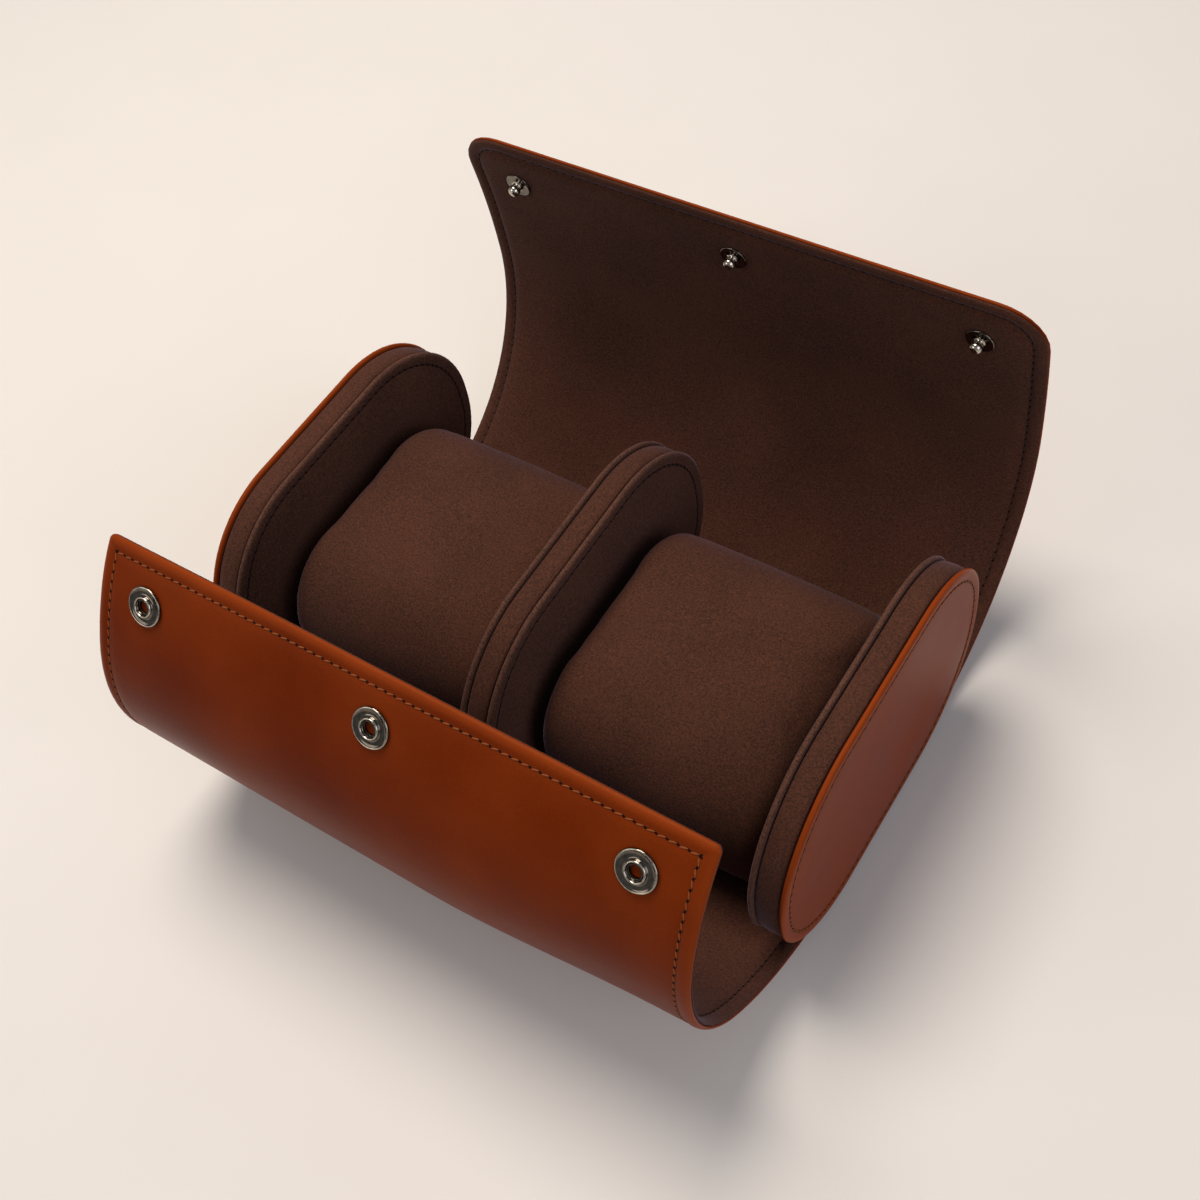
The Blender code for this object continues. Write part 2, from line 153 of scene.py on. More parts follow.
def makeLeather(finish):
    material, tree, shader, where = newMaterial("cognac_full_grain_leather", {
        "IOR": 1.45, "Specular IOR Level": 0.045, "Specular Tint": linearColour("FFC896"),
    })
    clouds = addNoise(tree, where, finish["cloudSize"], 3.0)
    pores = addNoise(tree, where, finish["poreSize"])
    tone = addRamp(tree, clouds, finish["cloudColours"])
    speck = addRamp(tree, pores, finish["poreColours"])
    darken = {"data_type": "RGBA", "blend_type": "MULTIPLY", 0: finish["poreShare"]}
    specked = addNode(tree, "Mix", darken, {6: tone, 7: speck}).outputs[2]
    wear = addNode(tree, "Attribute", {"attribute_name": "wear"}).outputs["Fac"]
    edge = {"data_type": "RGBA", 7: linearColour(finish["edgeColour"])}
    worn = addNode(tree, "Mix", edge, {0: wear, 6: specked}).outputs[2]
    tree.links.new(worn, shader.inputs["Base Color"])
    cells = {"feature": "SMOOTH_F1", "Scale": 1 / finish["pebbleSize"]}
    pebble = addNode(tree, "TexVoronoi", cells, {"Vector": where}).outputs["Distance"]
    addBump(tree, shader, addShare(tree, pores, finish["poreShare"], pebble), 0.35, 0.06 * mm)
    addGloss(tree, shader, clouds, {"From Min": 0.3, "From Max": 0.7, "To Min": 0.3, "To Max": 0.4})
    return material


# Microsuede: knitted polyester brushed to a short nap. It has no gloss, mottles a few shades lighter and
# darker where the nap lies differently, and brightens softly along edges seen at a slant.
suedeFinish = {
    "napSize": 0.5 * mm,
    "mottleSize": 0.8 * mm,
    "mottleShare": 0.4,
    "brushSize": 30 * mm,
    "brushShare": 0.3,
    "napColours": [(0.36, "2D1911"), (0.64, "533021")],
}
# A lighter, greyer copy of the same microsuede for the panels: painted light, standing in for the cool light
# and sheen the panel faces catch at a slant.
panelPaintedLightFinish = dict(suedeFinish, napColours=[(0.36, "352119"), (0.64, "624031")])


def makeSuede(name, finish):
    material, tree, shader, where = newMaterial(name, {
        "IOR": 1.45, "Roughness": 0.95, "Specular IOR Level": 0.25,
        "Sheen Weight": 0.42, "Sheen Roughness": 0.3, "Sheen Tint": linearColour("9486A0"),
    })
    nap = addNoise(tree, where, finish["napSize"], 3.0)
    total, weight = nap, 1
    for layer in ("mottle", "brush"):
        share = finish[layer + "Share"]
        total = addShare(tree, addNoise(tree, where, finish[layer + "Size"]), share, total)
        weight += share
    level = addNode(tree, "Math", {"operation": "DIVIDE", 1: weight}, {0: total}).outputs[0]
    tree.links.new(addRamp(tree, level, finish["napColours"]), shader.inputs["Base Color"])
    addBump(tree, shader, nap, 0.6, 0.18 * mm)
    return material


# Bonded polyester sewing thread: a twisted cord with a faint shine, so each stitch is lighter on its crown.
def makeThread(name, colour):
    material, tree, shader, where = newMaterial(name, {"Specular IOR Level": 0.15, "Roughness": 0.6})
    light = linearColour(colour)
    dark = [c * 0.6 for c in light[:3]] + [1]
    ply = addNoise(tree, where, 0.3 * mm)
    tone = addNode(tree, "Mix", {"data_type": "RGBA", 6: dark, 7: light}, {0: ply})
    tree.links.new(tone.outputs[2], shader.inputs["Base Color"])
    return material


# Awl holes: a dark bead at each stitch hole, coloured nearly black as painted shade for the hole that no
# light reaches into.
def makeHole():
    settings = {"Roughness": 1.0, "Specular IOR Level": 0.1}
    material, tree, shader, where = newMaterial("painted_hole_shade", settings)
    tone = addRamp(tree, addNoise(tree, where, 0.2 * mm), [(0.3, "080403"), (0.7, "1C0F0A")])
    tree.links.new(tone, shader.inputs["Base Color"])
    return material


# Nickel plate over brass, barrel polished and smeared a little by handling. Its colour is darkened to paint
# in the reflection of a dark room, and a lighter copy paints in bright reflections on the studs' heads and
# the sockets' rims.
def makeNickel(name, dark, light):
    material, tree, shader, where = newMaterial(name, {"Metallic": 1.0})
    smear = addNoise(tree, where, 1.5 * mm, 3.0)
    tree.links.new(addRamp(tree, smear, [(0.3, dark), (0.7, light)]), shader.inputs["Base Color"])
    addGloss(tree, shader, smear, {"To Min": 0.06, "To Max": 0.15})
    return material


# Grey board: pressed paper fibre, matt and flecked, hidden inside the wrap and the walls.
def makeBoard():
    material, tree, shader, where = newMaterial("grey_pressed_board", {"Roughness": 0.9})
    fleck = addNoise(tree, where, 0.8 * mm, 4.0)
    tree.links.new(addRamp(tree, fleck, [(0.3, "6B6660"), (0.7, "8C867E")]), shader.inputs["Base Color"])
    addBump(tree, shader, fleck, 0.4, 0.1 * mm)
    return material


leather = makeLeather(leatherFinish)
suede = makeSuede("brown_brushed_microsuede", suedeFinish)
# the panels' copy is lighter and greyer than the suede: painted light
panelPaintedLightSuede = makeSuede("brown_microsuede_painted_lighter", panelPaintedLightFinish)
tanThread = makeThread("tan_bonded_thread", "8A4A22")
brownThread = makeThread("brown_bonded_thread", "37241F")
holeShade = makeHole()
# the darker colours are a painted dark reflection, the lighter copy a painted bright reflection
nickel = makeNickel("polished_nickel_painted_dark", "57514A", "716A60")
brightReflectionNickel = makeNickel("nickel_painted_bright_reflection", "A39C90", "C2BBAE")
greyBoard = makeBoard()
print("materials made")


def finishPiece(name, bm, materials, slotName, smoothAngle=40):
    bmesh.ops.recalc_face_normals(bm, faces=bm.faces)
    if bm.calc_volume(signed=True) < 0:
        bmesh.ops.reverse_faces(bm, faces=bm.faces)
    mesh = bpy.data.meshes.new(name)
    bm.to_mesh(mesh)
    bm.free()
    for material in materials:
        mesh.materials.append(material)
    mesh.shade_smooth()
    mesh.set_sharp_from_angle(angle=radians(smoothAngle))
    obj = bpy.data.objects.new(name, mesh)
    bpy.context.collection.objects.link(obj)
    return obj


def roundedLoop(low, high, radii, steps):
    # the points of a rectangle with rounded corners, anticlockwise: radii for its low and high Y ends,
    # steps round a corner, along an X side and along a Y side
    lowRadius, highRadius = radii
    corners = [
        (Vector((high[0] - lowRadius, low[1] + lowRadius)), lowRadius, -90),
        (Vector((high[0] - highRadius, high[1] - highRadius)), highRadius, 0),
        (Vector((low[0] + highRadius, high[1] - highRadius)), highRadius, 90),
        (Vector((low[0] + lowRadius, low[1] + lowRadius)), lowRadius, 180),
    ]
    points = []
    for index, (centre, radius, start) in enumerate(corners):
        for step in range(steps[0] + 1):
            turn = radians(start + 90 * step / steps[0])
            points.append(centre + Vector((cos(turn), sin(turn))) * radius)
        nextCentre, nextRadius, _ = corners[(index + 1) % 4]
        turn = radians(start + 90)
        begin, end = points[-1], nextCentre + Vector((cos(turn), sin(turn))) * nextRadius
        count = steps[2] if index % 2 == 0 else steps[1]
        points += [begin.lerp(end, step / count) for step in range(1, count)]
    return points


def skinLoops(loops, ends="flat"):
    # a skin over loops of points of the same number: its two ends are flat faces or open, or it is joined
    # to itself; it comes back with the edges of each loop
    bm = bmesh.new()
    rings = []
    for points in loops:
        verts = [bm.verts.new(p) for p in points]
        rings.append([bm.edges.new(pair) for pair in zip(verts, verts[1:] + verts[:1])])
    for ring, following in zip(rings, rings[1:]):
        bmesh.ops.bridge_loops(bm, edges=ring + following)
    if ends == "joined":
        bmesh.ops.bridge_loops(bm, edges=rings[-1] + rings[0])
    for ring in (rings[0], rings[-1]) if ends == "flat" else ():
        bmesh.ops.contextual_create(bm, geom=ring)
    return bm, rings


def fillRing(bm, ring, steps):
    # fills a flat rounded loop with a grid: rows from its low X side to its high one, as many columns as
    # its Y ends have
    count = 2 * steps[0] + steps[2]
    first = count + steps[1]
    high, low = ring[:count], ring[first : first + count]
    across = bmesh.ops.bridge_loops(bm, edges=high + low)["edges"]
    bmesh.ops.subdivide_edges(bm, edges=across, cuts=steps[1] - 1)


def setWear(obj, amount):
    # an attribute that the leather reads: how much each point has been rubbed lighter
    layer = obj.data.attributes.new("wear", "FLOAT", "POINT")
    layer.data.foreach_set("value", amount)


# The wrap: leather outside, board, and lining inside, bent round the base
wrap = {
    "halfWidth": 98.5 * mm,
    "front": [  # its runs from the middle: a radius and an angle, or a straight length
        (None, 15.0 * mm),
        (92.3 * mm, radians(50)),
        (55.0 * mm, radians(62)),
        (78.0 * mm, radians(25.9)),
    ],
    "back": [(None, 34.0 * mm), (69.3 * mm, radians(90)), (250.0 * mm, radians(13))],
    "flapCorner": 2.0 * mm,
    "lidCorner": 15.0 * mm,
    "seam": 95.0 * mm,  # each layer is two pieces that meet here, hidden in the lid's lower half
    "lowerBend": (30 * mm, 70 * mm),  # each of the lid's two bends spreads over this much of the wrap
    "upperBend": (120 * mm, 160 * mm),
    "stitchInset": 4.3 * mm,
    "taper": (2.0 * mm, 95.0 * mm),  # the flap narrows by this on each side, from this far along to its end
    "wander": 0.35 * mm,  # how far the flap and the lid stray from a true curve
    "wanderFrom": 95.0 * mm,
    "wanderOver": 60.0 * mm,
    "belly": (4.2 * mm, 115.0 * mm, 60.0 * mm),  # the front sags outward: how far, where, over what length
}
# Profiles round the edge, in mm: how far in from the edge, and how far below the outer face
leatherEdge = [
    (9.0, 0.0), (7.0, 0.01), (5.9, 0.07), (5.0, 0.2), (4.3, 0.32), (3.7, 0.25), (3.2, 0.12),
    (2.65, 0.03), (2.1, 0.0), (1.6, 0.05), (1.1, 0.17), (0.7, 0.34), (0.38, 0.56), (0.14, 0.8),
    (0.02, 1.02), (0.02, 1.2), (0.14, 1.38), (0.4, 1.5), (0.8, 1.54), (1.2, 1.5), (2.0, 1.36),
    (3.0, 1.27), (4.3, 1.24), (6.0, 1.22), (9.0, 1.2),
]
liningEdge = [
    (9.0, 2.5), (6.6, 2.3), (5.2, 1.8), (4.3, 1.52), (3.2, 1.48), (2.0, 1.56), (1.0, 1.6),
    (0.5, 1.65), (0.22, 1.77), (0.12, 1.98), (0.24, 2.24), (0.6, 2.5), (1.45, 2.72), (2.1, 2.84),
    (2.7, 2.82), (3.2, 2.68), (3.6, 2.48), (3.95, 2.26), (4.3, 2.16), (4.65, 2.26), (5.1, 2.5),
    (5.7, 2.78), (6.6, 3.08), (7.8, 3.26), (9.0, 3.3),
]
boardEdge = [(6.6, 1.5), (6.6, 2.2)]


def runLength(run):
    return sum(amount if radius is None else radius * amount for radius, amount in run)


frontLength, backLength = runLength(wrap["front"]), runLength(wrap["back"])


def curvePlace(along):
    # how far back, how high and at what slope the wrap's outer face is, this far along it from the middle
    left = abs(along)
    y = z = slope = 0.0
    for radius, amount in wrap["back"] if along >= 0 else wrap["front"]:
        if radius is None:
            step = min(left, amount)
            y += step
            left -= step
        else:
            turn = min(left / radius, amount)
            y += radius * (sin(slope + turn) - sin(slope))
            z += radius * (cos(slope) - cos(slope + turn))
            slope += turn
            left -= turn * radius
    return y + left * cos(slope), z + left * sin(slope), slope


def wrapPlace(x, along, depth):
    # where a point of the flat wrap lies once it is bent: across it, along it and below its outer face
    side = 1 if along >= 0 else -1
    y, z, slope = curvePlace(along)
    free = min(max((abs(along) - wrap["wanderFrom"]) / wrap["wanderOver"], 0), 1)
    depth += wrap["wander"] * free * noise.noise(Vector((x * 16, along * 16, 3.7)))
    sag, middle, reach = wrap["belly"]
    swell = max(cos(min(abs(along + middle) / reach, 1) * pi / 2), 0) ** 2
    held = min(max((x / wrap["halfWidth"] - 0.15) / 0.85, 0), 1)  # the right side is held in and sags less
    depth -= sag * swell * (1 - held * held * (3 - 2 * held))
    normal = Vector((0, -side * sin(slope), cos(slope)))
    return Vector((x, side * y, z)) + normal * depth


def narrowed(x, along):
    # the front flap narrows towards its end; the snaps on it don't move
    narrowing, start = wrap["taper"]
    share = max((-along - start) / (frontLength - start), 0)
    return x * (1 - share * narrowing / wrap["halfWidth"])


def wrapLoop(inset, steps):
    half = wrap["halfWidth"] - inset
    radii = [max(wrap[corner] - inset, 0.25 * mm) for corner in ("flapCorner", "lidCorner")]
    return roundedLoop((-half, inset - frontLength), (half, backLength - inset), radii, steps)


def wrapLayer(profile, steps):
    # one layer of the wrap, flat and whole
    loops = [[(p.x, p.y, depth * mm) for p in wrapLoop(inset * mm, steps)] for inset, depth in profile]
    bm, rings = skinLoops(loops, "open")
    for ring in (rings[0], rings[-1]):
        fillRing(bm, ring, steps)
    bmesh.ops.remove_doubles(bm, verts=bm.verts, dist=1e-6)
    return bm


def wrapHalf(name, whole, back, materials, slotName):
    # the front or back piece of a layer, cut at the hidden seam, closed there and bent
    bm = whole.copy()
    place, normal = Vector((0, wrap["seam"], 0)), Vector((0, -1 if back else 1, 0))
    geom = bm.verts[:] + bm.edges[:] + bm.faces[:]
    bmesh.ops.bisect_plane(bm, geom=geom, dist=1e-6, plane_co=place, plane_no=normal, clear_outer=True)
    rim = [edge for edge in bm.edges if edge.is_boundary]
    bmesh.ops.holes_fill(bm, edges=rim)
    for vert in bm.verts:
        x, along, depth = vert.co
        vert.co = wrapPlace(narrowed(x, along), along, depth)
    return finishPiece(name, bm, materials, slotName)


def bendWrap(piece, back):
    # puts the piece's placing into its mesh; the places at the ends of the lid's bend are worked out but not
    # used
    start, end = wrap["upperBend" if back else "lowerBend"]
    wrapPlace(0, start, 2 * mm)
    wrapPlace(0, end, 2 * mm)
    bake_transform(piece)


def edgeDistance(x, along):
    # how far a point of the flat wrap is from the wrap's edge
    return min(wrap["halfWidth"] - abs(x), along + frontLength, backLength - along)


snaps = {
    "places": {"left": -79 * mm, "centre": 0.0, "right": 79 * mm},
    "socketAlong": 15 * mm - frontLength,
    "studAlong": backLength - 17 * mm,
}


def wearOfWrap(bm):
    # the rolled edge is rubbed light, and the leather is drawn a little paler round each snap
    amounts = []
    for vert in bm.verts:
        x, along, depth = vert.co
        rim = exp(-((max(edgeDistance(x, along), 0) / (1.8 * mm)) ** 2)) * 0.5
        near = min(hypot(x - place, along - snaps["socketAlong"]) for place in snaps["places"].values())
        amounts.append(min(rim + 0.18 * exp(-((near / (13 * mm)) ** 2)), 1))
    return amounts


wrapSteps = (7, 36, 200)
wholeLeather = wrapLayer(leatherEdge, wrapSteps)
wholeLining = wrapLayer(liningEdge, wrapSteps)
wholeBoard = wrapLayer(boardEdge, (7, 8, 120))
wearLayer = wholeLeather.verts.layers.float.new("wear")
for vert, amount in zip(wholeLeather.verts, wearOfWrap(wholeLeather)):
    vert[wearLayer] = amount
for back, half in ((False, "front"), (True, "back")):
    for layer, whole, material, slotName in (
        ("leather", wholeLeather, leather, "leather"),
        ("lining", wholeLining, suede, "microsuede"),
        ("board", wholeBoard, greyBoard, "board"),
    ):
        piece = wrapHalf(f"{layer}_{half}", whole, back, [material], slotName)
        sections = ["lid_upper"] if back else ["base", "lid_lower"]
        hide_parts(*(f"wrap_{layer}_{section}" for section in sections))
        bendWrap(piece, back)
for bm in (wholeLeather, wholeLining, wholeBoard):
    bm.free()
print("wrap bent")


# The stitches: thread and hole are half sizes, and a slant is in degrees off the seam's line
stitch = {
    "pitch": 3.0 * mm,
    "length": 2.5 * mm,
    "thread": 0.25 * mm,
    "slant": 14.0,
    "hole": (1.05 * mm, 0.34 * mm),  # the slit that the thread goes down
    "slitSlant": 24.0,
}
panelStitch = dict(stitch, slant=10.0, slitSlant=22.0, thread=0.28 * mm, hole=(1.15 * mm, 0.42 * mm))


def walkLine(points, pitch):
    # the stitch holes along an open line of flat points, spaced evenly so that both ends have one
    lengths = [(b - a).length for a, b in zip(points, points[1:])]
    count = max(1, round(sum(lengths) / pitch))
    found, done, index = [], 0.0, 0
    for step in range(count + 1):
        target = sum(lengths) * step / count
        while index < len(lengths) - 1 and done + lengths[index] < target:
            done += lengths[index]
            index += 1
        share = min((target - done) / lengths[index], 1)
        found.append(points[index].lerp(points[index + 1], share))
    return found


def makeBead(segments, rings, slot):
    # a small sphere that each stitch or hole is stretched from, its poles along X
    bm = bmesh.new()
    poles = Matrix.Rotation(pi / 2, 4, "Y")
    bmesh.ops.create_uvsphere(bm, u_segments=segments, v_segments=rings, radius=1, matrix=poles)
    for face in bm.faces:
        face.material_index = slot
    return bm


threadBead, holeBead = makeBead(8, 6, 0), makeBead(8, 4, 1)
scratch = bpy.data.meshes.new("scratch")


def addBead(bm, bead, middle, axes):
    # one bead, placed and stretched along three axes
    part = bead.copy()
    part.transform(Matrix.Translation(middle) @ Matrix(axes).transposed().to_4x4())
    part.to_mesh(scratch)
    part.free()
    bm.from_mesh(scratch)


def sewRow(bm, holes, place, settings):
    # holes are flat points, and place gives a flat point's place and its outward normal on the piece
    thick = settings["thread"]
    for a, b in zip(holes, holes[1:]):
        (start, up), (end, upEnd) = place(a), place(b)
        up = (up + upEnd).normalized()
        along = (end - start).normalized()
        turn = radians(settings["slant"])
        run = along * cos(turn) + up.cross(along) * sin(turn)
        half = min(settings["length"], (end - start).length * 0.86) / 2
        middle = (start + end) / 2 + up * thick * 0.25
        addBead(bm, threadBead, middle, (run * half, up.cross(run) * thick, up * thick * 0.8))
    # the dark beads at the holes are painted shade, the shadow down each awl hole
    length, width = settings["hole"]
    for index, hole in enumerate(holes):
        middle, up = place(hole)
        near = holes[index + 1] if index + 1 < len(holes) else hole * 2 - holes[index - 1]
        along = (place(near)[0] - middle).normalized()
        turn = radians(settings["slitSlant"])
        run = along * cos(turn) - up.cross(along) * sin(turn)
        addBead(bm, holeBead, middle, (run * length, up.cross(run) * width, up * 0.16 * mm))


def wrapStitchLines():
    # the seam round the wrap: square at the flap's corners, rounded at the lid's
    inset = wrap["stitchInset"]
    half, front, back = wrap["halfWidth"] - inset, inset - frontLength, backLength - inset
    radius = wrap["lidCorner"] - inset
    centre = Vector((half - radius, back - radius))
    turns = [pi / 16 * step for step in range(9)]
    arc = [centre + Vector((cos(turn), sin(turn))) * radius for turn in turns]
    mirrored = [Vector((-p.x, p.y)) for p in arc[::-1]]
    lid = [Vector((half, wrap["seam"]))] + arc + mirrored + [Vector((-half, wrap["seam"]))]
    flap = [Vector((-half, front)), Vector((half, front))]
    sides = [[Vector((x, front)), Vector((x, wrap["seam"]))] for x in (-half, half)]
    return {"front": [flap] + sides, "back": [lid]}


def onWrap(depth, outward):
    def place(point):
        x = narrowed(point.x, point.y)
        spot, deeper = wrapPlace(x, point.y, depth), wrapPlace(x, point.y, depth + 1 * mm)
        up = (spot - deeper if outward else deeper - spot).normalized()
        return spot, up
    return place


for half, lines in wrapStitchLines().items():
    for side, depth, thread, slotName in (
        ("outside", 0.3 * mm, tanThread, "leather"),
        ("inside", 2.16 * mm, brownThread, "microsuede"),
    ):
        bm = bmesh.new()
        for line in lines:
            sewRow(bm, walkLine(line, stitch["pitch"]), onWrap(depth, side == "outside"), stitch)
        piece = finishPiece(f"stitches_{half}_{side}", bm, [thread, holeShade], slotName, 60)
        bendWrap(piece, half == "back")
print("wrap stitched")


# End caps and divider: panels with a rolled edge on both sides of a band
walls = {
    "halfWidth": 59.5 * mm,
    "halfHeight": 40.0 * mm,
    "corner": 38.0 * mm,
    "centreZ": 43.7 * mm,
    "steps": (22, 10, 2),
    "wear": (0.3, 0.35, 2.2 * mm),  # all over, more at the edge, and how far in that reaches
    "leatherSeam": (3.7 * mm, 1.66 * mm),  # in from the outline, and out from the panel's back
    "suedeSeam": (4.0 * mm, 1.54 * mm),
    "capBacks": (98.85 * mm, 91.15 * mm),  # where the backs of a cap's leather and inner panels are
    "dividerBack": 3.65 * mm,
    "bandGap": 0.27 * mm,  # between a band and the panels' backs
}
# Profiles in mm: how far in from the outline, and how far out from the panel's back
leatherPanelEdge = [
    (30.0, 0.15), (2.0, 0.05), (0.9, 0.1), (0.35, 0.3), (0.05, 0.65), (0.0, 1.0), (0.12, 1.35),
    (0.42, 1.65), (0.9, 1.85), (1.4, 1.92), (2.0, 1.9), (2.7, 1.82), (3.3, 1.7), (3.7, 1.64),
    (4.1, 1.66), (4.8, 1.72), (6.2, 1.79), (10.0, 1.85), (15.0, 1.92), (24.0, 1.98), (36.0, 2.0),
]
suedePanelEdge = [
    (30.0, 0.15), (2.0, 0.05), (0.9, 0.1), (0.4, 0.28), (0.1, 0.6), (0.0, 0.95), (0.12, 1.32),
    (0.45, 1.64), (0.95, 1.86), (1.6, 1.96), (2.4, 1.92), (3.1, 1.76), (3.6, 1.6), (4.0, 1.54),
    (4.4, 1.6), (5.0, 1.74), (6.2, 1.86), (9.0, 1.94), (15.0, 2.04), (24.0, 2.12), (36.0, 2.15),
]


def wallLoop(inset, x, steps=walls["steps"]):
    half, height = walls["halfWidth"] - inset, walls["halfHeight"] - inset
    radii = (walls["corner"] - inset,) * 2
    loop = roundedLoop((-half, -height), (half, height), radii, steps)
    return [Vector((x, p.x, p.y + walls["centreZ"])) for p in loop]


def wearOfWall(point):
    # a panel is rubbed lighter towards its edge
    allOver, more, reach = walls["wear"]
    across = abs(point.y) - (walls["halfWidth"] - walls["corner"])
    up = abs(point.z - walls["centreZ"]) - (walls["halfHeight"] - walls["corner"])
    inset = walls["corner"] - hypot(max(across, 0), max(up, 0))
    return allOver + more * exp(-((max(inset, 0) / reach) ** 2))


def wallPanel(name, profile, backX, outward, material, slotName, node):
    loops = [wallLoop(inset * mm, backX + outward * out * mm) for inset, out in profile]
    piece = finishPiece(name, skinLoops(loops)[0], [material], slotName)
    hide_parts(node)
    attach(piece, "case")
    setWear(piece, [wearOfWall(vert.co) for vert in piece.data.vertices])


def sewPanel(name, backX, outward, seam, material, slotName):
    inset, out = seam
    normal = Vector((outward, 0, 0))
    points = [Vector((p.y, p.z)) for p in wallLoop(inset, 0, (40, 20, 2))]
    holes = walkLine(points + points[:1], stitch["pitch"])
    bm = bmesh.new()
    sewRow(bm, holes, lambda p: (Vector((backX + outward * out, p.x, p.y)), normal), panelStitch)
    piece = finishPiece(name, bm, [material, holeShade], slotName, 60)
    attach(piece, "case")


def wallBand(name, middle, half, node):
    # the band between two panels, a little proud along its middle: how far across it, and the inset in mm
    rising = [(-1, 1.9), (-1, 1.5), (-0.96, 1.1), (-0.84, 0.8), (-0.5, 0.55)]
    profile = rising + [(0, 0.46)] + [(-share, inset) for share, inset in rising[::-1]]
    loops = [wallLoop(inset * mm, middle + share * half) for share, inset in profile]
    piece = finishPiece(name, skinLoops(loops, "joined")[0], [suede], "microsuede")
    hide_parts(node)
    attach(piece, "case")


capOuter, capInner = walls["capBacks"]
capMiddle, capHalf = (capOuter + capInner) / 2, (capOuter - capInner) / 2
dividerBack, bandGap = walls["dividerBack"], walls["bandGap"]
for side, sign in (("left", -1), ("right", 1)):
    cap, cad = f"cap_{side}", f"end_cap_{side}"
    outerX, innerX, dividerX = sign * capOuter, sign * capInner, sign * dividerBack
    wallPanel(cap + "_leather", leatherPanelEdge, outerX, sign, leather, "leather", cad + "_leather_panel")
    # the inner panel takes the lighter copy of the microsuede: painted light
    wallPanel(cap + "_inner", suedePanelEdge, innerX, -sign, panelPaintedLightSuede, "microsuede", cad + "_inner_panel")
    wallBand(cap + "_band", sign * capMiddle, capHalf - bandGap, cad + "_gusset")
    sewPanel(cap + "_leather_stitches", outerX, sign, walls["leatherSeam"], tanThread, "leather")
    sewPanel(cap + "_inner_stitches", innerX, -sign, walls["suedeSeam"], brownThread, "microsuede")
    divider = f"divider_{side}"
    # the divider face takes the lighter copy of the microsuede: painted light
    wallPanel(divider + "_face", suedePanelEdge, dividerX, sign, panelPaintedLightSuede, "microsuede", divider + "_panel")
    sewPanel(divider + "_stitches", dividerX, sign, walls["suedeSeam"], brownThread, "microsuede")
wallBand("divider_band", 0, dividerBack - bandGap, "divider_gusset")
print("end caps and divider made")


# The cushions
cushions = {
    "inner": 8.5 * mm,  # from the middle of the case to a cushion's near end
    "outer": 86.3 * mm,
    "halfWidth": 43.5 * mm,
    "halfHeight": 30.5 * mm,
    "corner": 25.5 * mm,
    "centre": Vector((-3.0, 34.2)) * mm,
    "endRounding": 7.0 * mm,
    "endDome": 1.0 * mm,
    "endSteps": [(28.0, 0.0), (24.5, 0.03), (20.0, 0.08), (14.0, 0.35)],  # inset in mm, share of the dome
    "crown": 0.6 * mm,
    "crownSteps": (0.16, 0.23, 0.3, 0.37, 0.44, 0.5, 0.56, 0.63, 0.7, 0.77, 0.84),
    "slack": 0.5 * mm,  # the pad starts smaller than its place by this
    "puff": 1.8 * mm,
    "pressure": 4,
    "frames": 20,
}


def cushionLoop(inset, x):
    half, height = cushions["halfWidth"] - inset, cushions["halfHeight"] - inset
    radius = max(cushions["corner"] - inset, 1 * mm)
    loop = roundedLoop((-half, -height), (half, height), (radius, radius), (16, 18, 6))
    return [Vector((x, p.x + cushions["centre"].x, p.y + cushions["centre"].y)) for p in loop]


def cushionProfile(length):
    # how far in from the outline, and how far along: a domed end, the crowned middle and the other end
    rounding, dome = cushions["endRounding"], cushions["endDome"]
    ends = [(inset * mm, dome * share) for inset, share in cushions["endSteps"]]
    ends.append((rounding + 2 * mm, dome * 0.78))
    for angle in range(0, 91, 10):
        turn = radians(angle)
        ends.append((rounding * (1 - sin(turn)), dome + rounding * (1 - cos(turn))))
    middle = [(-cushions["crown"] * sin(pi * share), length * share) for share in cushions["crownSteps"]]
    return ends + middle + [(inset, length - out) for inset, out in ends[::-1]]


def puffCushion(piece):
    # cloth under pressure fills the sleeve out: every point moves at most the puff, and less where it is held
    cloth = piece.modifiers.new("sleeve", "CLOTH")
    cloth.settings.use_pressure = True
    cloth.settings.uniform_pressure_force = cushions["pressure"]
    cloth.settings.effector_weights.gravity = 0
    cloth.point_cache.frame_start, cloth.point_cache.frame_end = 1, cushions["frames"]
    for step in range(1, cushions["frames"] + 1):
        bpy.context.scene.frame_set(step)
    puffed = piece.evaluated_get(bpy.context.evaluated_depsgraph_get()).data
    moves = [puffed.vertices[i].co - vert.co for i, vert in enumerate(piece.data.vertices)]
    piece.modifiers.remove(cloth)
    bpy.context.scene.frame_set(1)
    most = cushions["puff"]
    for vert, move in zip(piece.data.vertices, moves):
        vert.co += move * most / (most + move.length)


def makeCushion(side, sign):
    length = cushions["outer"] - cushions["inner"]
    slack = cushions["slack"]
    start, stretch = cushions["inner"] + slack, 1 - 2 * slack / length
    profile = cushionProfile(length)
    loops = [cushionLoop(inset + slack, sign * (start + out * stretch)) for inset, out in profile]
    piece = finishPiece("cushion_pad_" + side, skinLoops(loops)[0], [suede], "microsuede", 80)
    puffCushion(piece)
    bottom = cushions["centre"].y - cushions["halfHeight"]
    for vert in piece.data.vertices:
        vert.co.z = max(vert.co.z, bottom)
    cad = f"cushion_{side}"
    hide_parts(cad + "_sleeve", cad + "_foam", cad + "_left_end", cad + "_right_end")
    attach(piece, "case")


for side, sign in (("left", -1), ("right", 1)):
    makeCushion(side, sign)
print("cushions made")


